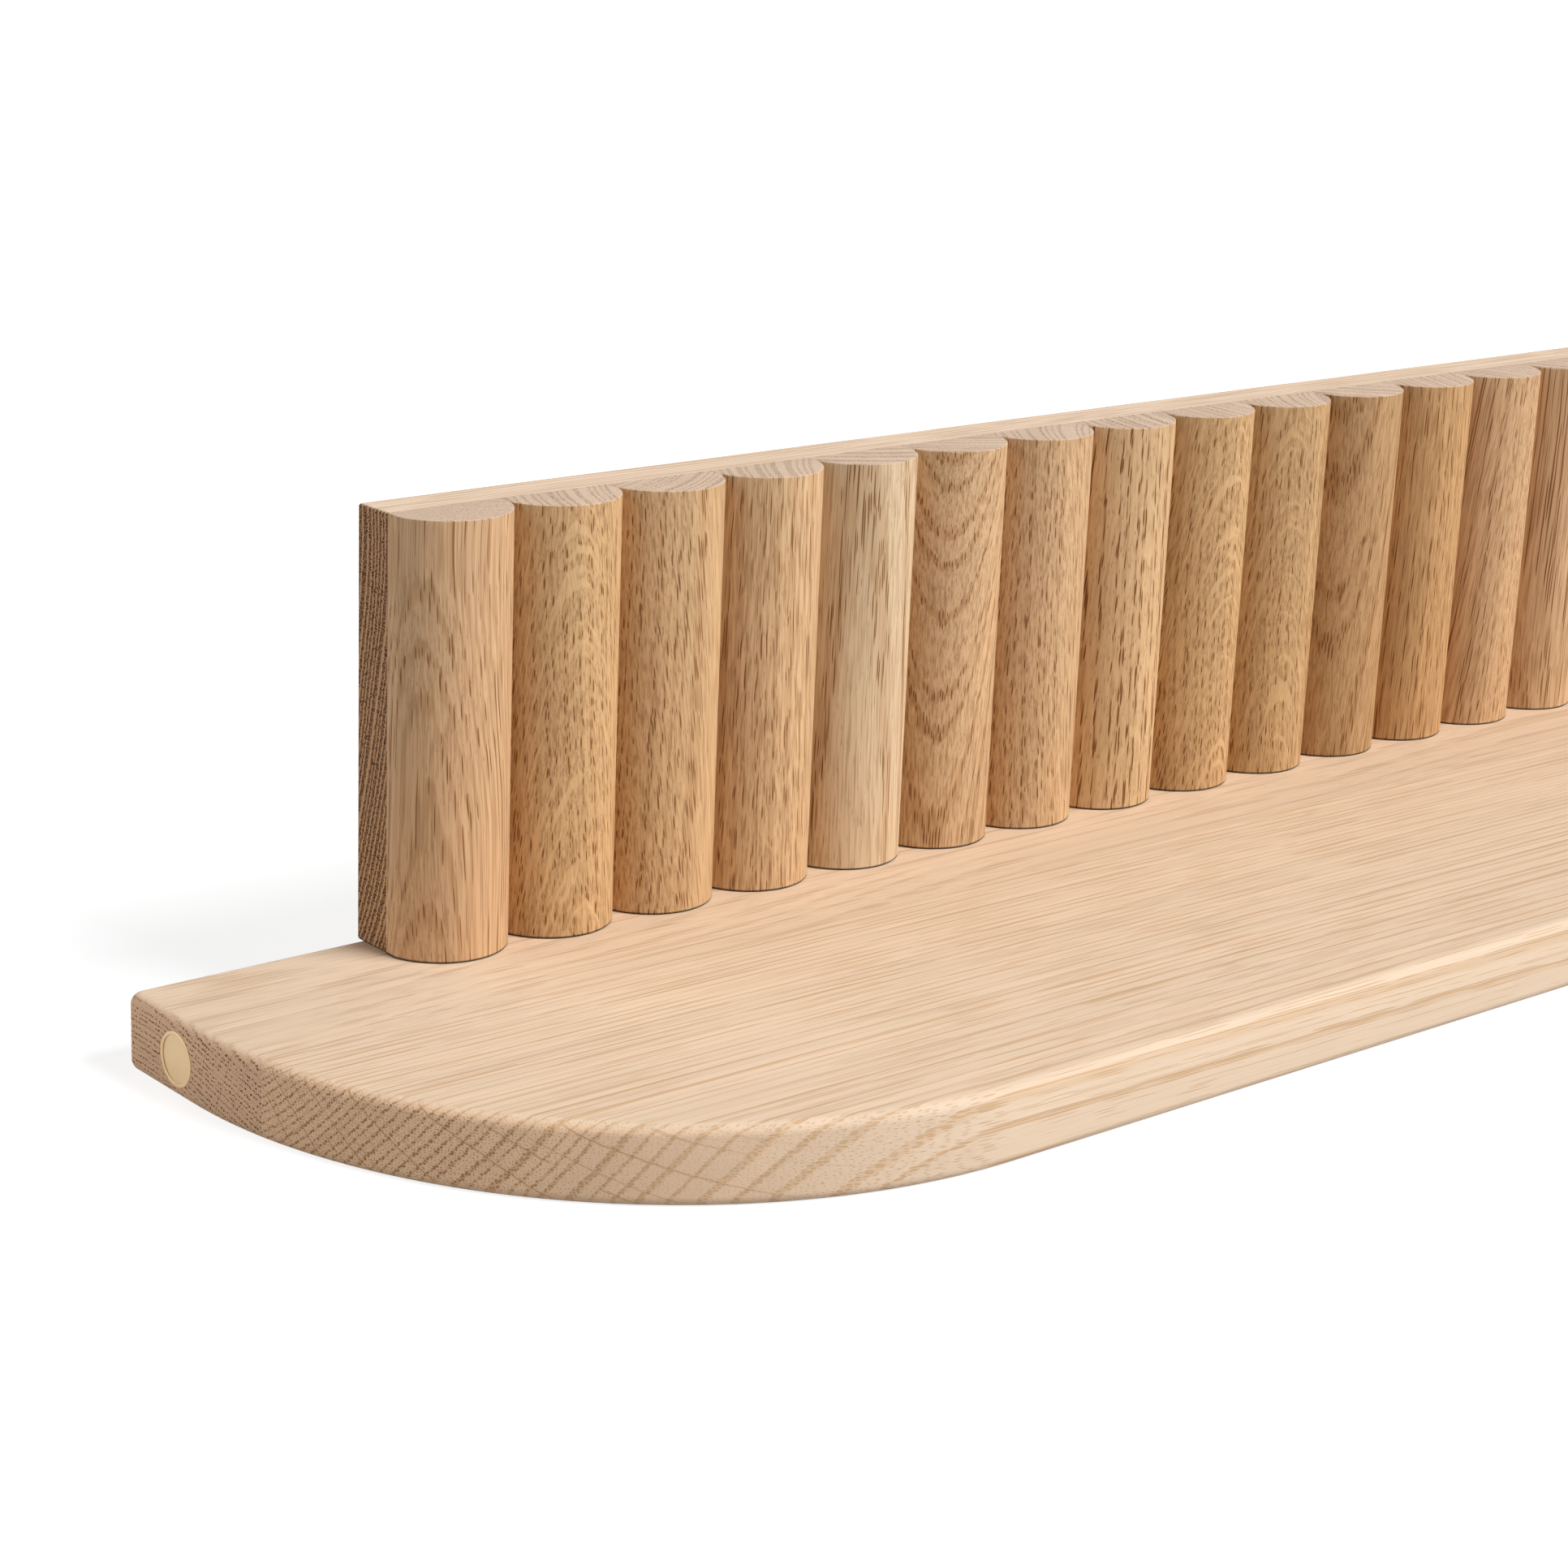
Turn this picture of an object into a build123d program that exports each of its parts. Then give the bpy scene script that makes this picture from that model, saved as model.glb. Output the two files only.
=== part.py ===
from build123d import *

import math
import os

# Oak wall shelf: a board with a standing panel faced with half-round staves.
# Frame: +X along the shelf, -Y out from the wall, +Z up, sizes in millimetres.
# The origin is on the wall plane, midway between the two wall screws that the shelf hangs on.

# Half-round staves: round stock sawn in two, then planed flat where the staves meet
half_round_count = 16
half_round_pitch = 30.0
side_planing = 0.6  # taken off each side of the stock's radius
saw_loss = 0.4  # taken off the stock's radius where it is sawn in two
half_round_joint = 0.1  # gap between two neighbours
half_round_arris = 0.3

# Back panel, standing on the shelf at the wall
panel_height = 102.0
panel_thickness = 12.0
panel_edge_radius = 0.8

# Shelf board, edge-glued from a rear and a front board
end_overhang = 60.0  # of the shelf beyond the panel
shelf_depth = 152.0
shelf_thickness = 18.0
rear_board_width = 52.0
end_flat = 27.0  # straight part of each end, from the wall to the front corner's arc
back_corner_radius = 3.5
shelf_edge_radius = 2.6

# Brass disc let into the left end
inlay_diameter = 12.5
inlay_thickness = 2.0
inlay_proud = 0.15
inlay_to_arc = 5.4  # from the disc's centre to where the front corner's arc starts
inlay_rim_width = 0.8
inlay_rim_height = 0.25

# Wood dowel pins between panel and shelf
pin_count = 6
pin_end_inset = 40.0  # from the panel's end to the outer pin
pin_diameter = 6.0
pin_in_panel = 17.0
pin_floor = 4.0  # shelf wood left under the pin holes
pin_end_space = 1.0  # left free at each end of a pin, for the glue
pin_end_chamfer = 0.8
flute_count = 12
flute_radius = 0.35

# Keyhole plates, let into the panel's back
hook_end_inset = 40.0  # from the panel's end to the wall screw
hook_below_top = 32.0  # from the panel's top down to the wall screw
plate_length = 45.0
plate_width = 18.0
plate_thickness = 2.0
plate_inset = 0.2  # how far the plate lies below the panel's back
plate_side_clearance = 0.1
plate_above_hook = 19.0
entry_diameter = 9.5
entry_drop = 11.0  # from the wall screw down to the entry hole
slot_width = 4.6
pocket_floor = 4.8  # panel wood left in front of the pocket that clears the wall screw's head

# Screws of the keyhole plates
screw_diameter = 3.0
screw_head_diameter = 6.0
screw_floor = 1.8  # panel wood left in front of a screw's tip
screw_tip_length = 2.5
screw_hole_clearance = 0.15
screw_end_inset = 6.5  # from the plate's ends
drive_width = 0.7
drive_length = 3.2
drive_depth = 0.9

# Worked out from the sizes above
shelf_top = hook_below_top - panel_height
shelf_bottom = shelf_top - shelf_thickness
panel_length = half_round_count * half_round_pitch
shelf_length = panel_length + 2 * end_overhang
corner_radius = shelf_depth - end_flat
stock_radius = half_round_pitch / 2 + side_planing
half_round_width = half_round_pitch - half_round_joint
half_round_front = -panel_thickness - stock_radius + saw_loss
half_round_sides = half_round_front + stock_radius - math.sqrt(stock_radius**2 - half_round_width**2 / 4)
inlay_face = -shelf_length / 2 - inlay_proud
inlay_centre = (inlay_to_arc - end_flat, shelf_top - shelf_thickness / 2)
pin_row_y = -panel_thickness / 2
pin_foot = shelf_bottom + pin_floor + pin_end_space
pin_top = shelf_top + pin_in_panel
pin_spacing = (panel_length - 2 * pin_end_inset) / (pin_count - 1)
hook_distance = panel_length / 2 - hook_end_inset
hooks = [-hook_distance, hook_distance]
plate_floor = plate_inset + plate_thickness
plate_middle = plate_above_hook - plate_length / 2
pocket_depth = panel_thickness - plate_floor - pocket_floor
screw_length = panel_thickness - plate_inset - screw_floor
screw_heights = [plate_middle + side * (plate_length / 2 - screw_end_inset) for side in (1, -1)]
screws = [(x, z) for x in hooks for z in screw_heights]
screw_neck = (screw_head_diameter - screw_diameter) / 2  # height of the countersunk head

os.makedirs("parts", exist_ok=True)

# Shelf blank: straight at the back and front, with a large arc at each front corner
with BuildPart() as shelf_blank:
    with BuildSketch(Plane.XY.offset(shelf_bottom)) as shelf_plan:
        with Locations((0, -shelf_depth / 2)):
            Rectangle(shelf_length, shelf_depth)
        fillet(shelf_plan.vertices().group_by(Axis.Y)[0], corner_radius)
        fillet(shelf_plan.vertices().group_by(Axis.Y)[-1], back_corner_radius)
    extrude(amount=shelf_thickness)
    fillet(shelf_blank.faces().filter_by(Axis.Z).edges(), shelf_edge_radius)

glue_plane = Plane.XZ.offset(rear_board_width)

# Front board of the shelf
with BuildPart() as shelf_front_board:
    add(shelf_blank.part)
    split(bisect_by=glue_plane, keep=Keep.TOP)
shelf_front_board.part.label = "shelf_front_board"
export_step(shelf_front_board.part, "parts/shelf_front_board.step")

# Rear board of the shelf, with the pin holes and the seat of the brass disc
with BuildPart() as shelf_rear_board:
    add(shelf_blank.part)
    split(bisect_by=glue_plane, keep=Keep.BOTTOM)
    with BuildSketch(Plane((0, pin_row_y, shelf_top))):
        with GridLocations(pin_spacing, 0, pin_count, 1):
            Circle(pin_diameter / 2)
    extrude(amount=pin_foot - pin_end_space - shelf_top, mode=Mode.SUBTRACT)
    with BuildSketch(Plane.YZ.offset(inlay_face)):
        with Locations(inlay_centre):
            Circle(inlay_diameter / 2)
    extrude(amount=inlay_thickness, mode=Mode.SUBTRACT)
shelf_rear_board.part.label = "shelf_rear_board"
export_step(shelf_rear_board.part, "parts/shelf_rear_board.step")

# Brass disc: a flat field inside a raised rim
with BuildPart() as brass_inlay:
    with BuildSketch(Plane.YZ.offset(inlay_face)):
        with Locations(inlay_centre):
            Circle(inlay_diameter / 2)
    extrude(amount=inlay_thickness)
    with BuildSketch(Plane.YZ.offset(inlay_face)):
        with Locations(inlay_centre):
            Circle(inlay_diameter / 2 - inlay_rim_width)
    extrude(amount=inlay_rim_height, mode=Mode.SUBTRACT)
    rim_edges = brass_inlay.edges().filter_by(GeomType.CIRCLE).group_by(Axis.X)[0]
    fillet(rim_edges, inlay_rim_height / 2)
brass_inlay.part.label = "brass_inlay"
export_step(brass_inlay.part, "parts/brass_inlay.step")

# Back panel, with the pin holes, and the seats, pockets and screw holes of the plates
with BuildPart() as back_panel:
    with BuildSketch(Plane.XY.offset(shelf_top)):
        with Locations((0, -panel_thickness / 2)):
            Rectangle(panel_length, panel_thickness)
    extrude(amount=panel_height)
    front_edges = back_panel.faces().sort_by(Axis.Y)[0].edges()
    fillet(back_panel.edges() - front_edges, panel_edge_radius)
    with BuildSketch(Plane((0, pin_row_y, shelf_top))):
        with GridLocations(pin_spacing, 0, pin_count, 1):
            Circle(pin_diameter / 2)
    extrude(amount=pin_in_panel + pin_end_space, mode=Mode.SUBTRACT)
    with BuildSketch(Plane.XZ):
        with Locations(*[(x, plate_middle) for x in hooks]):
            SlotOverall(
                plate_length + 2 * plate_side_clearance,
                plate_width + 2 * plate_side_clearance,
                rotation=90,
            )
    extrude(amount=plate_floor, mode=Mode.SUBTRACT)
    with BuildSketch(Plane.XZ.offset(plate_floor)):
        with Locations(*[(x, -entry_drop / 2) for x in hooks]):
            SlotCenterToCenter(entry_drop, entry_diameter, rotation=90)
    extrude(amount=pocket_depth, mode=Mode.SUBTRACT)
    with BuildSketch(Plane.XZ):
        with Locations(*screws):
            Circle(screw_diameter / 2)
    extrude(amount=plate_inset + screw_length, mode=Mode.SUBTRACT)
back_panel.part.label = "back_panel"
export_step(back_panel.part, "parts/back_panel.step")

# Half-round staves, numbered from the left end
for number in range(1, half_round_count + 1):
    stave_x = (number - (half_round_count + 1) / 2) * half_round_pitch
    with BuildPart() as half_round:
        with BuildSketch(Plane((stave_x, 0, shelf_top))):
            with BuildLine():
                arc = ThreePointArc(
                    (-half_round_width / 2, half_round_sides),
                    (0, half_round_front),
                    (half_round_width / 2, half_round_sides),
                )
                Polyline(
                    arc @ 1,
                    (half_round_width / 2, -panel_thickness),
                    (-half_round_width / 2, -panel_thickness),
                    arc @ 0,
                )
            make_face()
        extrude(amount=panel_height)
        chamfer(half_round.edges().filter_by(GeomType.CIRCLE), half_round_arris)
    name = f"half_round_{number:02d}"
    half_round.part.label = name
    export_step(half_round.part, f"parts/{name}.step")

# Fluted wood pins, standing in the shelf and in the panel
with BuildPart() as panel_pins:
    with BuildSketch(Plane((0, pin_row_y, pin_foot))):
        with GridLocations(pin_spacing, 0, pin_count, 1):
            Circle(pin_diameter / 2)
    extrude(amount=pin_top - pin_foot)
    chamfer(panel_pins.edges().filter_by(GeomType.CIRCLE), pin_end_chamfer)
    with BuildSketch(Plane((0, pin_row_y, pin_foot))):
        with GridLocations(pin_spacing, 0, pin_count, 1):
            with PolarLocations(pin_diameter / 2, flute_count):
                Circle(flute_radius)
    extrude(amount=pin_top - pin_foot, mode=Mode.SUBTRACT)
panel_pins.part.label = "panel_pins"
export_step(panel_pins.part, "parts/panel_pins.step")


def make_keyhole_plate(hook_x):
    """A steel plate with an entry hole, a slot above it and two countersunk holes."""
    with BuildPart() as plate:
        with BuildSketch(Plane((hook_x, -plate_inset, 0), x_dir=(1, 0, 0), z_dir=(0, -1, 0))):
            with Locations((0, plate_middle)):
                SlotOverall(plate_length, plate_width, rotation=90)
            with Locations((0, -entry_drop / 2)):
                SlotCenterToCenter(entry_drop, slot_width, rotation=90, mode=Mode.SUBTRACT)
            with Locations((0, -entry_drop)):
                Circle(entry_diameter / 2, mode=Mode.SUBTRACT)
        extrude(amount=plate_thickness)
        with Locations(*[Plane((hook_x, -plate_inset, z), z_dir=(0, 1, 0)) for z in screw_heights]):
            CounterSinkHole(
                screw_diameter / 2 + screw_hole_clearance,
                screw_head_diameter / 2 + screw_hole_clearance,
                counter_sink_angle=90,
            )
    return plate


# Keyhole plates, one near each end of the panel
keyhole_plate_left = make_keyhole_plate(-hook_distance)
keyhole_plate_left.part.label = "keyhole_plate_left"
export_step(keyhole_plate_left.part, "parts/keyhole_plate_left.step")

keyhole_plate_right = make_keyhole_plate(hook_distance)
keyhole_plate_right.part.label = "keyhole_plate_right"
export_step(keyhole_plate_right.part, "parts/keyhole_plate_right.step")

# Countersunk screws of both plates, with a cross drive
with BuildPart() as plate_screws:
    for x, z in screws:
        with BuildSketch(Plane((x, -plate_inset, z))):
            with BuildLine():
                Polyline(
                    (0, 0),
                    (screw_head_diameter / 2, 0),
                    (screw_diameter / 2, -screw_neck),
                    (screw_diameter / 2, screw_tip_length - screw_length),
                    (0, -screw_length),
                    close=True,
                )
            make_face()
        revolve(axis=Axis((x, 0, z), (0, 1, 0)))
    with BuildSketch(Plane.XZ.offset(plate_inset)):
        with Locations(*screws):
            Rectangle(drive_length, drive_width)
            Rectangle(drive_width, drive_length)
    extrude(amount=drive_depth, mode=Mode.SUBTRACT)
plate_screws.part.label = "plate_screws"
export_step(plate_screws.part, "parts/plate_screws.step")
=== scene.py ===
from math import hypot, radians

import bpy
from mathutils import Euler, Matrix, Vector


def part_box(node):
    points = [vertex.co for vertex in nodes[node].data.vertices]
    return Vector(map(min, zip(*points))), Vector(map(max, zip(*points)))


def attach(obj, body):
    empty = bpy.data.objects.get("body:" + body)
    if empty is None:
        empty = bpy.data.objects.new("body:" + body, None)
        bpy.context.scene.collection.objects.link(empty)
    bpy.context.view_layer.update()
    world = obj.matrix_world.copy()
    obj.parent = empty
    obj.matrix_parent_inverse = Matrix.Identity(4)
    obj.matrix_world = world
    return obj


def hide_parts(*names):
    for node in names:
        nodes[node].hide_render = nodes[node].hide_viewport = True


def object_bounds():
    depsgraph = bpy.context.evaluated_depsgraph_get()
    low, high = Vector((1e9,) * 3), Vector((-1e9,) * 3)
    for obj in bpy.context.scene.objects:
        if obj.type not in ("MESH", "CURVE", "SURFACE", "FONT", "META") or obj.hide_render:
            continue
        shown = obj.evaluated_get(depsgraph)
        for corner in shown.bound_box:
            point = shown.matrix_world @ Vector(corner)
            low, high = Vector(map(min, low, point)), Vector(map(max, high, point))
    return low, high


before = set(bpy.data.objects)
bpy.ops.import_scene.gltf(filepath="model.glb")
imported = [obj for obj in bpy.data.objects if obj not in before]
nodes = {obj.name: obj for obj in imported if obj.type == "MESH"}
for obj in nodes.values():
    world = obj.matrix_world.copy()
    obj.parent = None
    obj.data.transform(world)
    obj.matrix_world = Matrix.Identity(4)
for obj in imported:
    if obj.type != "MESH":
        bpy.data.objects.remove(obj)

cad_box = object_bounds()

# Oak wall shelf. Everything is in metres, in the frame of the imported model: +X along the shelf, -Y out from
# the wall, +Z up. The pieces made here take their places from the nodes they stand for.
MM = 0.001

# Half-round staves
STAVE_COUNT = 16
STOCK_RADIUS = 15.6 * MM
STOCK_SIDES = 144
STAVE_ARRIS = 0.3 * MM
STAVE_ARRIS_STEPS = 3

# Shelf boards
CORNER_RADIUS = 125 * MM
CORNER_STEPS = 72
BACK_CORNER_RADIUS = 3.5 * MM
BACK_CORNER_STEPS = 10
SHELF_EDGE = 2.6 * MM
SHELF_EDGE_STEPS = 8
PIN_COUNT = 6
PIN_SPACING = 80 * MM
PIN_RADIUS = 3 * MM
PIN_SIDES = 48
PIN_HOLE_FLOOR = 4 * MM

# Brass disc
DISC_SIDES = 128
DISC_RIM = 0.8 * MM
DISC_RIM_HEIGHT = 0.25 * MM
DISC_ROUNDING = 0.12 * MM
DISC_ROUNDING_STEPS = 3

# All pieces
SLACK = 0.01 * MM
SMOOTH_ANGLE = radians(30)
QUARTER_TURN = radians(90)

# Camera, floor and light
CAMERA_PLACE = (-0.6457, -0.6215, 0.1966)
CAMERA_TURN = (radians(72.955), radians(-2.191), radians(-39.926))
CAMERA_LENS = 78.35
CAMERA_CLIP = 0.01
FLOOR_SIZE = 30.0
LAMP_DISTANCE = 2.0
KEY_AIM = (-0.36, 0.60, -0.58)
KEY_SPREAD = radians(35)
KEY_LEVEL = 3.6
SIDE_AIM = (0.78, -0.50, -0.35)
SIDE_SPREAD = radians(60)
SIDE_LEVEL = 1.3
ROOM_LEVEL = 0.03
FLOOR_TONE = 0.45
FLOOR_LIFT = 0.8


# ---------------------------------------------------------------- modelling helpers

def deselect():
    """Leaves nothing selected and no mode open."""
    if bpy.context.mode != "OBJECT":
        bpy.ops.object.mode_set(mode="OBJECT")
    bpy.ops.object.select_all(action="DESELECT")


def pick(piece):
    """Leaves only this piece selected and active."""
    deselect()
    piece.select_set(True)
    bpy.context.view_layer.objects.active = piece


def edit(piece):
    pick(piece)
    bpy.ops.object.mode_set(mode="EDIT")


def settle(piece, name):
    """Puts the piece's place into its mesh and names it."""
    pick(piece)
    bpy.ops.object.transform_apply(location=True, rotation=True, scale=True)
    piece.name = name
    piece.data.name = name
    return piece


def twin(piece, name):
    """A copy with its own mesh."""
    copy = piece.copy()
    copy.data = piece.data.copy()
    bpy.context.collection.objects.link(copy)
    copy.name = name
    copy.data.name = name
    return copy


def near(a, b, slack=SLACK):
    return abs(a - b) < slack


def select_edges(piece, test):
    """In edit mode, selects the edges whose two ends both pass the test."""
    bpy.ops.mesh.select_mode(type="EDGE")
    bpy.ops.mesh.select_all(action="DESELECT")
    bpy.ops.object.mode_set(mode="OBJECT")
    points = piece.data.vertices
    for edge in piece.data.edges:
        edge.select = test(*[points[i].co for i in edge.vertices])
    bpy.ops.object.mode_set(mode="EDIT")


def select_faces(piece, test):
    """In edit mode, selects the faces that pass the test."""
    bpy.ops.mesh.select_mode(type="FACE")
    bpy.ops.mesh.select_all(action="DESELECT")
    bpy.ops.object.mode_set(mode="OBJECT")
    for face in piece.data.polygons:
        face.select = test(face)
    bpy.ops.object.mode_set(mode="EDIT")


def cut_away(place, normal):
    """In edit mode, cuts the piece by a plane, drops what lies on the normal's side and closes the cut."""
    bpy.ops.mesh.select_all(action="SELECT")
    bpy.ops.mesh.bisect(plane_co=place, plane_no=normal, clear_outer=True, use_fill=True, threshold=1e-6)


def round_over(radius, steps):
    bpy.ops.mesh.bevel(offset=radius, segments=steps, profile=0.5, affect="EDGES")


def smooth(piece):
    pick(piece)
    bpy.ops.object.shade_smooth_by_angle(angle=SMOOTH_ANGLE)


def drill(piece, cutter):
    """Takes the cutter's shape out of the piece and drops the cutter."""
    pick(piece)
    hole = piece.modifiers.new("hole", "BOOLEAN")
    hole.operation = "DIFFERENCE"
    hole.solver = "EXACT"
    hole.object = cutter
    bpy.ops.object.modifier_apply(modifier=hole.name)
    pick(cutter)
    bpy.ops.object.delete()


def stand_for(piece, node):
    """The piece stands in for the node: the node is hidden and the piece hangs on the root body."""
    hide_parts(node)
    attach(piece, "root")


# ---------------------------------------------------------------- half-round staves

def make_stave(low, high):
    """The first stave: round stock, cut flat at the back and at both sides, its two curved end rims eased."""
    axis = ((low.x + high.x) / 2, low.y + STOCK_RADIUS)
    deselect()
    bpy.ops.mesh.primitive_cylinder_add(
        vertices=STOCK_SIDES, radius=STOCK_RADIUS, depth=high.z - low.z,
        location=(*axis, (low.z + high.z) / 2),
    )
    stave = settle(bpy.context.object, "stave_01")
    edit(stave)
    cut_away((0, high.y, 0), (0, 1, 0))
    cut_away((low.x, 0, 0), (-1, 0, 0))
    cut_away((high.x, 0, 0), (1, 0, 0))

    def on_rim(a, b):
        level = near(a.z, b.z) and (near(a.z, low.z) or near(a.z, high.z))
        far = [hypot(p.x - axis[0], p.y - axis[1]) for p in (a, b)]
        return level and all(near(reach, STOCK_RADIUS, 2 * SLACK) for reach in far)

    select_edges(stave, on_rim)
    round_over(STAVE_ARRIS, STAVE_ARRIS_STEPS)
    smooth(stave)
    return stave


def make_staves():
    """All staves: the first one and its copies, each at its own node's place."""
    low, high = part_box("half_round_01")
    staves = [make_stave(low, high)]
    for number in range(2, STAVE_COUNT + 1):
        stave = twin(staves[0], f"stave_{number:02d}")
        stave.location.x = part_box(f"half_round_{number:02d}")[0].x - low.x
        staves.append(settle(stave, stave.name))
    for number, stave in enumerate(staves, start=1):
        stand_for(stave, f"half_round_{number:02d}")
    return staves


# ---------------------------------------------------------------- shelf boards

def make_blank(low, high):
    """The whole shelf before it is parted at the glue line: corners rounded, then both rims."""
    deselect()
    bpy.ops.mesh.primitive_cube_add(size=1, location=(low + high) / 2, scale=high - low)
    blank = settle(bpy.context.object, "shelf_blank")
    edit(blank)
    select_edges(blank, lambda a, b: near(a.x, b.x) and near(a.y, low.y) and near(b.y, low.y))
    round_over(CORNER_RADIUS, CORNER_STEPS)
    select_edges(blank, lambda a, b: near(a.x, b.x) and near(a.y, high.y) and near(b.y, high.y))
    round_over(BACK_CORNER_RADIUS, BACK_CORNER_STEPS)
    select_edges(blank, lambda a, b: near(a.z, b.z))
    round_over(SHELF_EDGE, SHELF_EDGE_STEPS)
    bpy.ops.object.mode_set(mode="OBJECT")
    return blank


def make_boards():
    """The rear board, drilled for the disc and the pins, and the front board, parted at the glue line."""
    rear_low, rear_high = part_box("shelf_rear_board")
    front_low, front_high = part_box("shelf_front_board")
    rear = make_blank(Vector((rear_low.x, front_low.y, rear_low.z)), rear_high)
    rear.name = "rear_board"
    front = twin(rear, "front_board")
    for board, side in ((rear, -1), (front, 1)):
        edit(board)
        cut_away((0, front_high.y, 0), (0, side, 0))

    disc_low, disc_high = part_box("brass_inlay")
    middle = (disc_low + disc_high) / 2
    deselect()
    bpy.ops.mesh.primitive_cylinder_add(
        vertices=DISC_SIDES, radius=(disc_high.z - disc_low.z) / 2, depth=disc_high.x - disc_low.x,
        location=middle, rotation=(0, QUARTER_TURN, 0),
    )
    drill(rear, bpy.context.object)

    panel_low, panel_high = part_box("back_panel")
    hole_depth = rear_high.z - rear_low.z - PIN_HOLE_FLOOR
    for place in range(PIN_COUNT):
        along = (place - (PIN_COUNT - 1) / 2) * PIN_SPACING
        deselect()
        bpy.ops.mesh.primitive_cylinder_add(
            vertices=PIN_SIDES, radius=PIN_RADIUS, depth=2 * hole_depth,
            location=(along, (panel_low.y + panel_high.y) / 2, rear_high.z),
        )
        drill(rear, bpy.context.object)

    for board in (rear, front):
        smooth(board)
    stand_for(rear, "shelf_rear_board")
    stand_for(front, "shelf_front_board")
    return rear, front


# ---------------------------------------------------------------- brass disc

def make_disc():
    """The disc let into the left end: a flat field inside a raised, softly rounded rim."""
    low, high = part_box("brass_inlay")
    middle = (low + high) / 2
    radius = (high.z - low.z) / 2
    deselect()
    bpy.ops.mesh.primitive_cylinder_add(
        vertices=DISC_SIDES, radius=radius, depth=high.x - low.x,
        location=middle, rotation=(0, QUARTER_TURN, 0),
    )
    disc = settle(bpy.context.object, "brass_disc")
    edit(disc)
    select_faces(disc, lambda face: face.normal.x < -0.9)
    bpy.ops.mesh.inset(thickness=DISC_RIM, depth=0)
    bpy.ops.mesh.extrude_region_move(TRANSFORM_OT_translate={"value": (DISC_RIM_HEIGHT, 0, 0)})

    def on_face(a, b):
        far = [hypot(p.y - middle.y, p.z - middle.z) for p in (a, b)]
        return near(a.x, low.x) and near(b.x, low.x) and near(far[0], far[1])

    select_edges(disc, on_face)
    round_over(DISC_ROUNDING, DISC_ROUNDING_STEPS)
    smooth(disc)
    stand_for(disc, "brass_inlay")
    return disc


# ---------------------------------------------------------------- material helpers

def add(tree, kind, inputs=(), **settings):
    """Adds a node. The inputs are values or sockets, by their name or place."""
    made = tree.nodes.new("ShaderNode" + kind)
    for name, value in settings.items():
        setattr(made, name, value)
    for name, value in dict(inputs).items():
        if isinstance(value, bpy.types.NodeSocket):
            tree.links.new(value, made.inputs[name])
        else:
            made.inputs[name].default_value = value
    return made


def calc(tree, operation, *values):
    return add(tree, "Math", enumerate(values), operation=operation).outputs[0]


def vector(tree, operation, *values):
    return add(tree, "VectorMath", enumerate(values), operation=operation).outputs[0]


def scaled(tree, value, factor):
    return add(tree, "VectorMath", {0: value, "Scale": factor}, operation="SCALE").outputs[0]


def fade(tree, value, start, end, first=0.0, last=1.0):
    """Goes softly from first to last as the value goes from start to end."""
    inputs = {"Value": value, "From Min": start, "From Max": end, "To Min": first, "To Max": last}
    return add(tree, "MapRange", inputs, interpolation_type="SMOOTHSTEP").outputs[0]


def tint(tree, share, first, second):
    return add(tree, "Mix", {0: share, 6: first, 7: second}, data_type="RGBA").outputs[2]


def noise(tree, place, detail=0.0):
    """Soft noise, one patch to a unit of place."""
    return add(tree, "TexNoise", {"Vector": place, "Scale": 1.0, "Detail": detail}).outputs


def cloud(tree, place, along, across, detail=0.0):
    """Soft noise whose patches have this size along and across the grain."""
    size = add(tree, "CombineXYZ", {0: along, 1: across, 2: across}).outputs[0]
    return noise(tree, vector(tree, "DIVIDE", place, size), detail)


def new_material(name):
    """A new material, its tree and its shader."""
    material = bpy.data.materials.new(name)
    material.use_nodes = True
    tree = material.node_tree
    return material, tree, tree.nodes["Principled BSDF"]


def dress(piece, material):
    """Gives the piece this material and no other."""
    piece.data.materials.clear()
    piece.data.materials.append(material)


# ---------------------------------------------------------------- oak

# Sizes in the figure are in millimetres. Where there are three, they go along the grain, out from the pith
# and round it. A fade is the pair of values between which something comes in softly.

# Growth rings
GROWTH_CHANGE = 0.21  # how often the width of the rings changes, per millimetre of radius
EARLY_END = (0.6, 1.3)  # early wood fades out here, as shares of its own part of the ring
EARLY_START = (0.92, 1.0)  # and comes in here, as shares of the whole ring
RING_SHADE = (0.97, 1.03)  # the darkest and the palest ring

# Vessels
VESSEL_SPACING = 0.62
VESSEL_SCATTER = 0.7
WIDE_END = (0.9, 1.1)  # the wide ones end here, as shares of the early wood
WIDE_START = (0.93, 0.97)  # and begin here, as shares of the whole ring
BORE_SHARES = (0.7, 1.15)  # the narrowest and the widest bore, as shares of the pore size
BORE_EDGE = (1.2, 0.75)  # the soft edge of a bore, as shares of it
PORE_RELIEF = -0.03
PORE_ROUGHNESS = (0.66, 0.85)  # on the wood between the pores and in a pore

# Rays
RAY_SPACING = 2.4
RAY_EDGE = (0.17, 0.07)  # from the middle of a ray to where its soft edge starts and ends
RAY_LUCK = (0.1, 0.7)
RAY_STRENGTH = (0.15, 1.0)  # the weakest and the strongest ray
GAP_SIZE = (30, 14, 1.5)
GAP_FADE = (0.32, 0.45)
FLECK_SIZE = (26, 15, 0.42)
FLECK_FADE = (0.58, 0.70)
FLECK_GAIN = 1.1

# Grain, fibres and clouds
LEAN_WIDTH = 40
SHIVER_WIDTH = 1.6
SHIVER_REACH = (0, 0.2, 0.2)
FIBRE_STRETCH = 2.0  # how much longer than a pore
FIBRE_WIDTH = 0.42
FIBRE_SHADE = -0.8
STREAK_FADE = (0.44, 0.68)
CLOUD_LENGTH = 70
CLOUD_WIDTH = 9

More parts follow.
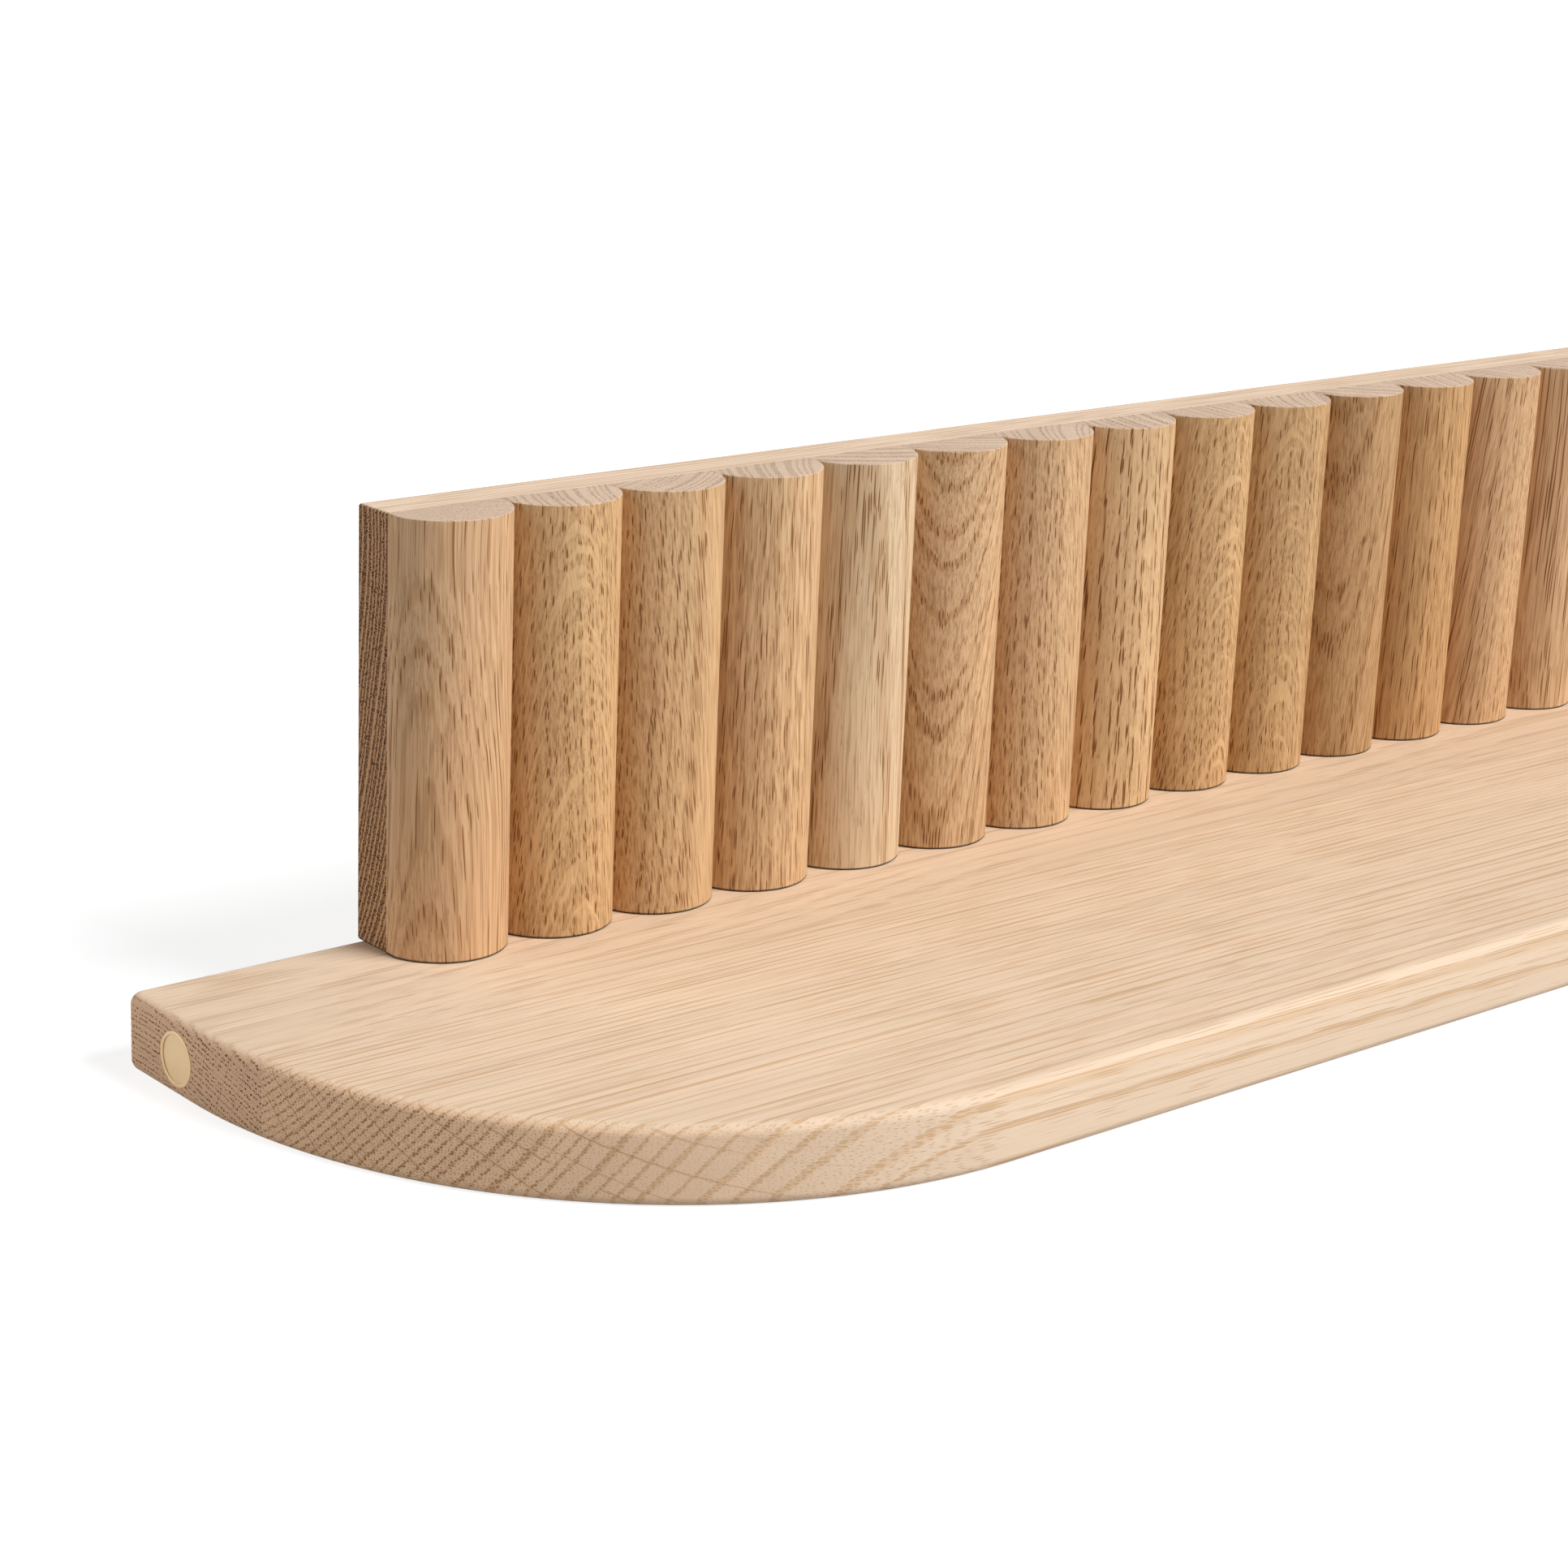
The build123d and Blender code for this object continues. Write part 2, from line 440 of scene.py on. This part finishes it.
# How far a surface faces along the grain: 0 on long grain, 1 on end grain
END_FADE = (0.1, 0.95)
OPEN_FADE = (0.5, 0.88)  # where the cut ends of the vessels come in

# Painted shade: a thin dark line of painted contact shadow at the foot of a piece that stands on another one
FOOT_SHADOW_FADE = (0.3 * MM, 0.7 * MM)
FOOT_SHADOW_DARKNESS = 0.12

OAK_SPECULAR = 0.25

OAK_SOCKETS = {
    "Place": "Vector", "Facing": "Float", "Start": "Float", "Dive": "Vector", "Bow": "Vector",
    "Wander": "Vector", "Lean Length": "Float", "Rings": "Float", "Crowding": "Float", "Unevenness": "Float",
    "Reach": "Float", "Early Share": "Float", "Line Depth": "Float", "Pore Size": "Float",
    "Pore Length": "Float", "Pore Spread": "Float", "Pore Depth": "Float", "Ray Depth": "Float",
    "Ray Lines": "Float", "Streaks": "Float", "Clouding": "Float",
    "Ground": "Color", "Line": "Color", "Pore": "Color",
    "End Ground": "Color", "End Line": "Color", "End Pore": "Color",
}


def make_group(name, sockets, results):
    """An empty node group with these sockets, and the sockets of its two ends."""
    tree = bpy.data.node_groups.new(name, "ShaderNodeTree")
    for way, listed in (("INPUT", sockets), ("OUTPUT", results)):
        for socket, kind in listed.items():
            tree.interface.new_socket(name=socket, in_out=way, socket_type="NodeSocket" + kind)
    return tree, tree.nodes.new("NodeGroupInput").outputs, tree.nodes.new("NodeGroupOutput").inputs


def make_growth():
    """Growth rings: how far a place lies through its ring, and that ring's number."""
    sockets = {"Across": "Vector", "Rings": "Float", "Crowding": "Float", "Unevenness": "Float"}
    tree, given, result = make_group("growth_rings", sockets, {"Step": "Float", "Number": "Float"})
    radius = add(tree, "VectorMath", {0: given["Across"]}, operation="LENGTH").outputs["Value"]
    steady = calc(tree, "MULTIPLY_ADD", radius, given["Crowding"], given["Rings"])
    years = {"W": calc(tree, "MULTIPLY", radius, GROWTH_CHANGE), "Scale": 1.0, "Detail": 1.0}
    uneven = add(tree, "TexNoise", years, noise_dimensions="1D").outputs["Fac"]
    ring = calc(tree, "MULTIPLY_ADD", steady, radius, calc(tree, "MULTIPLY", uneven, given["Unevenness"]))
    tree.links.new(calc(tree, "FRACT", ring), result["Step"])
    tree.links.new(calc(tree, "FLOOR", ring), result["Number"])
    return tree


def shift(tree, place, along, across, reach):
    """How far soft noise with patches of this size moves a place, at most by the reach."""
    random = vector(tree, "SUBTRACT", cloud(tree, place, along, across)["Color"], (0.5, 0.5, 0.5))
    return vector(tree, "MULTIPLY", scaled(tree, random, 2.0), reach)


def parts_of(tree, value, shares):
    """The value times each of these shares."""
    return [calc(tree, "MULTIPLY", value, share) for share in shares]


def make_oak_figure():
    """Sawn oak. Place is in millimetres, x along the grain and y, z from the pith. Facing is 1 on
    end grain."""
    results = {"Color": "Color", "Roughness": "Float", "Relief": "Float"}
    tree, given, result = make_group("oak_figure", OAK_SOCKETS, results)
    growth = make_growth()
    habit = {name: given[name] for name in ("Rings", "Crowding", "Unevenness")}

    # The grain dives into the piece, then leans slowly and shivers
    along = add(tree, "SeparateXYZ", {0: given["Place"]}).outputs[0]
    slope = vector(tree, "ADD", given["Dive"], scaled(tree, given["Bow"], along))
    place = vector(tree, "ADD", given["Place"], scaled(tree, slope, along))
    place = vector(tree, "ADD", place, add(tree, "CombineXYZ", {0: given["Start"]}).outputs[0])
    lean = shift(tree, place, given["Lean Length"], LEAN_WIDTH, given["Wander"])
    shiver = shift(tree, place, given["Pore Length"], SHIVER_WIDTH, SHIVER_REACH)
    place = vector(tree, "ADD", vector(tree, "ADD", place, lean), shiver)
    split = add(tree, "SeparateXYZ", {0: place}).outputs
    across = add(tree, "CombineXYZ", {0: split[1], 1: split[2]}).outputs[0]

    here = add(tree, "Group", {"Across": across, **habit}, node_tree=growth).outputs
    step = here["Step"]
    own = add(tree, "TexWhiteNoise", {"W": here["Number"]}, noise_dimensions="1D").outputs["Value"]
    share = given["Early Share"]
    early = fade(tree, step, *parts_of(tree, share, EARLY_END), 1.0, 0.0)
    early = calc(tree, "MAXIMUM", early, fade(tree, step, *EARLY_START))

    # Vessels: long tubes, wide where their middle lies in early wood
    cells = {"Vector": scaled(tree, across, 1 / VESSEL_SPACING), "Scale": 1.0, "Randomness": VESSEL_SCATTER}
    vessels = add(tree, "TexVoronoi", cells, voronoi_dimensions="2D").outputs
    middle = scaled(tree, vessels["Position"], VESSEL_SPACING)
    there = add(tree, "Group", {"Across": middle, **habit}, node_tree=growth).outputs["Step"]
    wide = fade(tree, there, *parts_of(tree, share, WIDE_END), 1.0, 0.0)
    wide = calc(tree, "MAXIMUM", wide, fade(tree, there, *WIDE_START))
    luck = add(tree, "SeparateXYZ", {0: vessels["Color"]}).outputs[0]
    bore = calc(tree, "MULTIPLY", given["Pore Size"], fade(tree, luck, 0.0, 1.0, *BORE_SHARES))
    bore = calc(tree, "MULTIPLY", bore, calc(tree, "MAXIMUM", wide, given["Pore Spread"]))
    bore = calc(tree, "DIVIDE", bore, VESSEL_SPACING)
    pore = fade(tree, vessels["Distance"], *parts_of(tree, bore, BORE_EDGE))

    # Rays: thin sheets that run out from the pith, pale flecks on long grain and fine lines on end grain
    radius = add(tree, "VectorMath", {0: across}, operation="LENGTH").outputs["Value"]
    turn = calc(tree, "MULTIPLY", calc(tree, "ARCTAN2", split[1], split[2]), given["Reach"])
    sheet = add(tree, "CombineXYZ", {0: split[0], 1: radius, 2: turn}).outputs[0]
    fleck = noise(tree, vector(tree, "DIVIDE", sheet, FLECK_SIZE))["Fac"]
    fleck = fade(tree, fleck, *FLECK_FADE)
    spread = {"W": calc(tree, "DIVIDE", turn, RAY_SPACING), "Scale": 1.0, "Randomness": 1.0}
    lines = add(tree, "TexVoronoi", spread, voronoi_dimensions="1D").outputs
    luck = add(tree, "SeparateXYZ", {0: lines["Color"]}).outputs[0]
    gap = noise(tree, vector(tree, "DIVIDE", sheet, GAP_SIZE))["Fac"]
    ray = fade(tree, lines["Distance"], *[part / RAY_SPACING for part in RAY_EDGE])
    ray = calc(tree, "MULTIPLY", ray, fade(tree, luck, *RAY_LUCK, *RAY_STRENGTH))
    ray = calc(tree, "MULTIPLY", ray, fade(tree, gap, *GAP_FADE))

    # Fibres, whole rings and soft clouds make the wood darker or paler
    fibre_length = calc(tree, "MULTIPLY", given["Pore Length"], FIBRE_STRETCH)
    fibre = cloud(tree, place, fibre_length, FIBRE_WIDTH, detail=2.0)["Fac"]
    streak = calc(tree, "MULTIPLY", fade(tree, fibre, *STREAK_FADE), given["Streaks"])
    fine = calc(tree, "MULTIPLY", given["Streaks"], FIBRE_SHADE)
    fine = calc(tree, "MULTIPLY", calc(tree, "SUBTRACT", fibre, 0.5), fine)
    clouds = cloud(tree, place, CLOUD_LENGTH, CLOUD_WIDTH, detail=1.0)["Fac"]
    clouds = calc(tree, "MULTIPLY", calc(tree, "SUBTRACT", clouds, 0.5), given["Clouding"])
    shade = calc(tree, "ADD", calc(tree, "ADD", fine, clouds), fade(tree, own, 0.0, 1.0, *RING_SHADE))

    # Long grain and end grain are coloured apart, then joined by how the surface faces
    line = calc(tree, "MULTIPLY", early, given["Line Depth"])
    hole = calc(tree, "MULTIPLY", pore, given["Pore Depth"])
    long = tint(tree, line, given["Ground"], given["Line"])
    long = tint(tree, streak, long, given["Line"])
    long = tint(tree, hole, long, given["Pore"])
    pale = scaled(tree, given["Ground"], FLECK_GAIN)
    long = tint(tree, calc(tree, "MULTIPLY", fleck, given["Ray Depth"]), long, pale)
    end = tint(tree, line, given["End Ground"], given["End Line"])
    end = tint(tree, calc(tree, "MULTIPLY", ray, given["Ray Lines"]), end, given["End Line"])
    open_ends = calc(tree, "MULTIPLY", pore, fade(tree, given["Facing"], *OPEN_FADE))
    end = tint(tree, open_ends, end, given["End Pore"])
    facing = fade(tree, given["Facing"], *END_FADE)
    tree.links.new(scaled(tree, tint(tree, facing, long, end), shade), result["Color"])
    tree.links.new(fade(tree, pore, 0.0, 1.0, *PORE_ROUGHNESS), result["Roughness"])
    tree.links.new(calc(tree, "MULTIPLY", pore, PORE_RELIEF), result["Relief"])
    return tree


def make_oak(name, figure, grain, pith, ring_width, foot=None, **looks):
    """Oak for one piece. Grain is the axis that it runs along, pith the two other coordinates in millimetres,
    foot the height at which the piece stands on another one, where a thin dark line of painted contact shadow
    shows."""
    material, tree, shader = new_material(name)
    coordinates = add(tree, "TexCoord")
    if grain == "X":
        turn = Euler((0, 0, 0))
        axis = (1, 0, 0)
    else:
        turn = Euler((QUARTER_TURN, 0, QUARTER_TURN))
        axis = (0, 0, 1)
    mapping = add(tree, "Mapping", {
        "Vector": coordinates.outputs["Object"], "Scale": (1 / MM, 1 / MM, 1 / MM),
        "Rotation": turn, "Location": (0, -pith[0], -pith[1]),
    })
    facing = add(tree, "VectorMath", {0: coordinates.outputs["Normal"], 1: axis}, operation="DOT_PRODUCT")
    facing = calc(tree, "ABSOLUTE", facing.outputs["Value"])
    rings = 1 / ring_width - 2 * looks["Crowding"] * looks["Reach"]
    inputs = {"Place": mapping.outputs[0], "Facing": facing, "Rings": rings, **looks}
    oak = add(tree, "Group", inputs, node_tree=figure)
    colour = oak.outputs["Color"]
    # Painted contact shadow: the colour darkens in a thin line just above the foot
    if foot is not None:
        height = add(tree, "SeparateXYZ", {0: coordinates.outputs["Object"]}).outputs[2]
        foot_shadow_heights = [foot + part for part in FOOT_SHADOW_FADE]
        colour = scaled(tree, colour, fade(tree, height, *foot_shadow_heights, FOOT_SHADOW_DARKNESS, 1.0))
    bump = add(tree, "Bump", {"Height": oak.outputs["Relief"], "Distance": MM})
    tree.links.new(colour, shader.inputs["Base Color"])
    tree.links.new(oak.outputs["Roughness"], shader.inputs["Roughness"])
    tree.links.new(bump.outputs[0], shader.inputs["Normal"])
    shader.inputs["Specular IOR Level"].default_value = OAK_SPECULAR
    return material


def rgb(red, green, blue):
    return (red, green, blue, 1)


SHELF_TONES = {
    "Ground": rgb(0.83, 0.635, 0.46), "Line": rgb(0.70, 0.49, 0.32), "Pore": rgb(0.52, 0.31, 0.17),
    "End Ground": rgb(0.88, 0.59, 0.37), "End Line": rgb(0.50, 0.28, 0.14), "End Pore": rgb(0.18, 0.07, 0.03),
}
STAVE_TONES = {
    "Ground": rgb(0.64, 0.41, 0.23), "Line": rgb(0.465, 0.255, 0.115), "Pore": rgb(0.22, 0.085, 0.025),
}
STAVE_TOP_TONES = {
    "End Ground": rgb(0.70, 0.52, 0.385), "End Line": rgb(0.46, 0.31, 0.21),
    "End Pore": rgb(0.28, 0.17, 0.11),
}
OAK_LOOKS = {
    "Bow": (0, 0, 0), "Lean Length": 120.0, "Crowding": 0.0, "Unevenness": 1.6,
}
SHELF_LOOKS = {
    **OAK_LOOKS, **SHELF_TONES, "Wander": (0, 2, 2), "Early Share": 0.4, "Line Depth": 0.3, "Pore Size": 0.18,
    "Pore Length": 32.0, "Pore Spread": 0.3, "Pore Depth": 0.45, "Ray Depth": 0.1, "Ray Lines": 0.4,
    "Streaks": 0.25, "Clouding": 0.04,
}
STAVE_LOOKS = {
    **OAK_LOOKS, **STAVE_TOP_TONES, "Wander": (0, 1.5, 1.5), "Early Share": 0.3, "Line Depth": 0.35,
    "Pore Size": 0.17, "Pore Length": 7.0, "Pore Spread": 0.25, "Pore Depth": 0.9, "Ray Depth": 0.3,
    "Ray Lines": 0.15, "Streaks": 0.75, "Clouding": 0.2,
}

# The boards: what each has of its own
REAR_LOOKS = {
    **SHELF_LOOKS, "Start": 900.0, "Reach": 110.0, "Dive": (0, 0.012, 0.02), "Early Share": 0.3,
    "Line Depth": 0.25, "Pore Size": 0.23, "Pore Length": 22.0,
    "End Ground": rgb(0.86, 0.56, 0.35), "End Line": rgb(0.50, 0.24, 0.11),
    "End Pore": rgb(0.19, 0.065, 0.025),
}
FRONT_LOOKS = {
    **SHELF_LOOKS, "Start": 2600.0, "Reach": 86.0, "Wander": (0, 1, 1), "Lean Length": 200.0,
    "Streaks": 0.15, "Crowding": -0.0025, "Dive": (0, 0.004, 0.01), "Ray Lines": 0.9, "Line Depth": 0.5,
    "Early Share": 0.24, "Pore Size": 0.26, "Pore Length": 14.0, "Pore Spread": 0.45, "Pore Depth": 0.55,
    "Unevenness": 1.0,
    "Ground": rgb(0.86, 0.665, 0.49), "Line": rgb(0.74, 0.51, 0.31), "Pore": rgb(0.62, 0.36, 0.17),
    "End Ground": rgb(0.96, 0.655, 0.42), "End Line": rgb(0.64, 0.36, 0.145),
    "End Pore": rgb(0.46, 0.20, 0.09),
}
PANEL_LOOKS = {
    **SHELF_LOOKS, "Start": 4300.0, "Reach": 200.0, "Dive": (0, 0.01, 0.01), "Pore Size": 0.26,
    "Early Share": 0.62, "Line Depth": 0.85, "Ray Lines": 0.0,
    "Ground": rgb(0.93, 0.74, 0.57), "Line": rgb(0.80, 0.59, 0.42),
    "End Ground": rgb(0.62, 0.355, 0.17), "End Line": rgb(0.24, 0.105, 0.04),
    "End Pore": rgb(0.06, 0.022, 0.008),
}

# Where each board was sawn: the pith's place out from the wall and up, and the ring width
REAR_GROWTH = ((-8, -189), 1.3)
FRONT_GROWTH = ((-4, -14), 1.597)
PANEL_GROWTH = ((200, 25), 1.5)

# Each stave: the pith's place across and towards the wall from the middle of its back, the ring width, how
# the grain dives in the same two directions per millimetre of height, its tone, and what else is its own.
# The tones are partly each stave's own wood and partly painted shade: the darker tones of the staves towards
# the right end stand in for light falling off along the shelf.
STAVES = [
    ((52, 47), 1.1, (0.01, 0.02), rgb(1.01, 1.01, 1.03),
     {"Wander": (0, 5, 2), "Lean Length": 60.0, "Pore Length": 14.0, "Pore Size": 0.15, "Unevenness": 1.0,
      "Line Depth": 0.5, "Clouding": 0.06, "Streaks": 0.6}),
    ((75, -30), 2.1, (0.06, 0.138), rgb(0.97, 0.97, 0.88), {"Ray Depth": 0.95}),
    ((-28, 53), 1.9, (0.123, 0.066), rgb(0.99, 1.01, 0.97), {}),
    ((66, -48), 2.4, (0.034, 0.049), rgb(1.03, 1.08, 1.09), {"Pore Size": 0.15, "Early Share": 0.4}),
    ((40, 70), 4.5, (0.02, 0.035), rgb(1.08, 1.29, 1.51),
     {"Unevenness": 0.0, "Pore Length": 12.0, "Streaks": 0.5}),
    ((46, 66), 2.1, (-0.097, -0.139), rgb(1.00, 1.04, 1.06),
     {"Bow": (0, -0.00044, -0.00064), "Line Depth": 0.6, "Early Share": 0.26, "Unevenness": 2.6}),
    ((58, -48), 2.3, (0.077, 0.092), rgb(1.02, 1.06, 1.07), {}),
    ((81, -26), 2.6, (0.025, 0.076), rgb(1.05, 1.11, 1.08),
     {"Pore Size": 0.23, "Pore Depth": 1.0, "Streaks": 0.4, "Ray Depth": 0.5}),
    ((79, -11), 2.1, (0.02, 0.149), rgb(0.94, 0.94, 0.84), {"Ray Depth": 0.95}),
    ((66, -45), 2.2, (0.073, 0.108), rgb(0.89, 0.89, 0.80), {"Wander": (0, 3, 3), "Ray Depth": 0.9}),
    ((50, 48), 2.6, (-0.072, -0.069), rgb(0.80, 0.77, 0.68),
     {"Wander": (0, 3, 3), "Line Depth": 0.5, "Early Share": 0.26}),
    ((80, -40), 2.4, (0.02, 0.05), rgb(0.92, 0.86, 0.72), {"Pore Length": 10.0}),
    ((-66, -20), 2.3, (-0.05, 0.10), rgb(1.00, 1.00, 0.99), {}),
    ((60, 44), 2.6, (0.03, 0.02), rgb(1.01, 1.04, 1.08), {"Wander": (0, 5, 2), "Pore Length": 12.0}),
    ((74, -24), 2.1, (0.05, 0.14), rgb(0.98, 0.97, 0.94), {}),
    ((44, 62), 2.1, (-0.07, -0.11), rgb(0.97, 0.95, 0.91), {"Line Depth": 0.5, "Early Share": 0.26}),
]
STAVE_START = 331.0  # how far apart in the log two staves begin


def shaded(tones, tone):
    """The tones of one piece: each colour times the piece's own, which makes lines and pores no paler."""
    darker = [min(part, 1.0) for part in tone]
    return {
        name: tuple(a * b for a, b in zip(colour, tone if name == "Ground" else darker))
        for name, colour in tones.items()
    }


def dress_staves(figure, staves):
    """Gives each stave oak of its own."""
    for number, (stave, row) in enumerate(zip(staves, STAVES), start=1):
        (side, behind), ring_width, dive, tone, own = row
        low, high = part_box(f"half_round_{number:02d}")
        pith = ((low.x + high.x) / 2 / MM + side, high.y / MM + behind)
        looks = {
            **STAVE_LOOKS, **shaded(STAVE_TONES, tone), "Dive": (0, *dive), "Reach": hypot(side, behind),
            "Start": number * STAVE_START, **own,
        }
        dress(stave, make_oak(f"stave_oak_{number:02d}", figure, "Z", pith, ring_width, foot=low.z, **looks))


def dress_boards(figure, rear, front, panel):
    """Gives the two shelf boards and the panel oak of their own."""
    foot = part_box("back_panel")[0].z
    dress(rear, make_oak("rear_board_oak", figure, "X", *REAR_GROWTH, **REAR_LOOKS))
    dress(front, make_oak("front_board_oak", figure, "X", *FRONT_GROWTH, **FRONT_LOOKS))
    dress(panel, make_oak("panel_oak", figure, "X", *PANEL_GROWTH, foot=foot, **PANEL_LOOKS))


# ---------------------------------------------------------------- metal and pins

# Patterns on metal and pins: strokes or fibres, or patches, to the metre along each axis
BRASS_STROKES = (700, 9000, 700)
ZINC_STROKES = (400, 9000, 400)
METAL_PATCHES = (260, 260, 260)
BEECH_FIBRES = (2200, 2200, 120)

BRASS = rgb(0.60, 0.43, 0.24)
BRASS_ROUGHNESS = 0.34
ZINC = rgb(0.44, 0.45, 0.47)
ZINC_ROUGHNESS = 0.36
DULLING = 0.86  # how much darker the dull patches are
STROKE_FADE = (0.25, 0.75)
STROKE_GLOSS = (-0.06, 0.08)  # added to the roughness between the strokes and on them
STROKE_DEPTH = 0.02 * MM
STROKE_STRENGTH = 0.6
BEECH_DARK = rgb(0.62, 0.38, 0.23)
BEECH_PALE = rgb(0.74, 0.50, 0.32)
BEECH_FADE = (0.35, 0.65)
BEECH_DEPTH = 0.1 * MM
BEECH_ROUGHNESS = 0.6


def make_metal(name, colour, roughness, strokes):
    """Brushed metal with fine strokes and slightly duller patches."""
    material, tree, shader = new_material(name)
    place = add(tree, "TexCoord").outputs["Object"]
    stroke = noise(tree, vector(tree, "MULTIPLY", place, strokes), detail=2.0)["Fac"]
    patch = noise(tree, vector(tree, "MULTIPLY", place, METAL_PATCHES), detail=2.0)["Fac"]
    dull = rgb(*[part * DULLING for part in colour[:3]])
    tree.links.new(tint(tree, patch, colour, dull), shader.inputs["Base Color"])
    rough = fade(tree, stroke, *STROKE_FADE, *[roughness + change for change in STROKE_GLOSS])
    tree.links.new(rough, shader.inputs["Roughness"])
    bump = add(tree, "Bump", {"Height": stroke, "Distance": STROKE_DEPTH, "Strength": STROKE_STRENGTH})
    tree.links.new(bump.outputs[0], shader.inputs["Normal"])
    shader.inputs["Metallic"].default_value = 1.0
    return material


def make_beech():
    """Plain beech for the pins, with fibres along their height."""
    material, tree, shader = new_material("beech")
    place = add(tree, "TexCoord").outputs["Object"]
    fibre = noise(tree, vector(tree, "MULTIPLY", place, BEECH_FIBRES), detail=2.0)["Fac"]
    colour = tint(tree, fade(tree, fibre, *BEECH_FADE), BEECH_DARK, BEECH_PALE)
    tree.links.new(colour, shader.inputs["Base Color"])
    bump = add(tree, "Bump", {"Height": fibre, "Distance": BEECH_DEPTH})
    tree.links.new(bump.outputs[0], shader.inputs["Normal"])
    shader.inputs["Roughness"].default_value = BEECH_ROUGHNESS
    return material


# ---------------------------------------------------------------- camera, light, floor

def make_camera():
    bpy.ops.object.camera_add(location=CAMERA_PLACE, rotation=CAMERA_TURN)
    camera = bpy.context.object
    camera.name = "camera"
    camera.data.lens = CAMERA_LENS
    camera.data.clip_start = CAMERA_CLIP
    bpy.context.scene.camera = camera


def make_lamp(name, aim, spread, level):
    """A large soft lamp far off, shining along the aim."""
    bpy.ops.object.light_add(type="SUN", location=-LAMP_DISTANCE * Vector(aim))
    lamp = bpy.context.object
    lamp.name = name
    lamp.rotation_euler = Vector(aim).to_track_quat("-Z", "Y").to_euler()
    lamp.data.angle = spread
    lamp.data.energy = level


def seen_directly(tree):
    """1 for the eye and for reflections in metal, 0 for the light that reaches the shelf."""
    path = add(tree, "LightPath")
    return calc(tree, "MAXIMUM", path.outputs["Is Camera Ray"], path.outputs["Is Glossy Ray"])


def make_room():
    """An even pale room, plain white to the eye."""
    world = bpy.data.worlds.new("pale_room")
    bpy.context.scene.world = world
    world.use_nodes = True
    tree = world.node_tree
    back = tree.nodes["Background"]
    back.inputs["Color"].default_value = rgb(1.0, 1.0, 1.0)
    tree.links.new(fade(tree, seen_directly(tree), 0.0, 1.0, ROOM_LEVEL, 1.0), back.inputs["Strength"])


def make_floor():
    """A pale floor that keeps the shelf's shadow and looks white where there is none."""
    deselect()
    bpy.ops.mesh.primitive_plane_add(size=FLOOR_SIZE, location=(0, 0, cad_box[0].z))
    floor = settle(bpy.context.object, "floor")
    material, tree = new_material("pale_floor")[:2]
    tree.nodes.clear()
    matt = add(tree, "BsdfDiffuse", {"Color": rgb(FLOOR_TONE, FLOOR_TONE, FLOOR_TONE)})
    lift = add(tree, "Emission", {"Strength": calc(tree, "MULTIPLY", seen_directly(tree), FLOOR_LIFT)})
    both = add(tree, "AddShader", {0: matt.outputs[0], 1: lift.outputs[0]})
    add(tree, "OutputMaterial", {"Surface": both.outputs[0]})
    dress(floor, material)


# ---------------------------------------------------------------- making it

make_camera()
make_room()
make_floor()
make_lamp("key_lamp", KEY_AIM, KEY_SPREAD, KEY_LEVEL)
make_lamp("side_lamp", SIDE_AIM, SIDE_SPREAD, SIDE_LEVEL)

staves = make_staves()
rear_board, front_board = make_boards()
disc = make_disc()

oak_figure = make_oak_figure()
dress_staves(oak_figure, staves)
dress_boards(oak_figure, rear_board, front_board, nodes["back_panel"])
dress(disc, make_metal("champagne_brass", BRASS, BRASS_ROUGHNESS, BRASS_STROKES))
zinc = make_metal("zinc_plate", ZINC, ZINC_ROUGHNESS, ZINC_STROKES)
for name in ("keyhole_plate_left", "keyhole_plate_right", "plate_screws"):
    dress(nodes[name], zinc)
dress(nodes["panel_pins"], make_beech())

bpy.context.scene.view_settings.view_transform = "Standard"
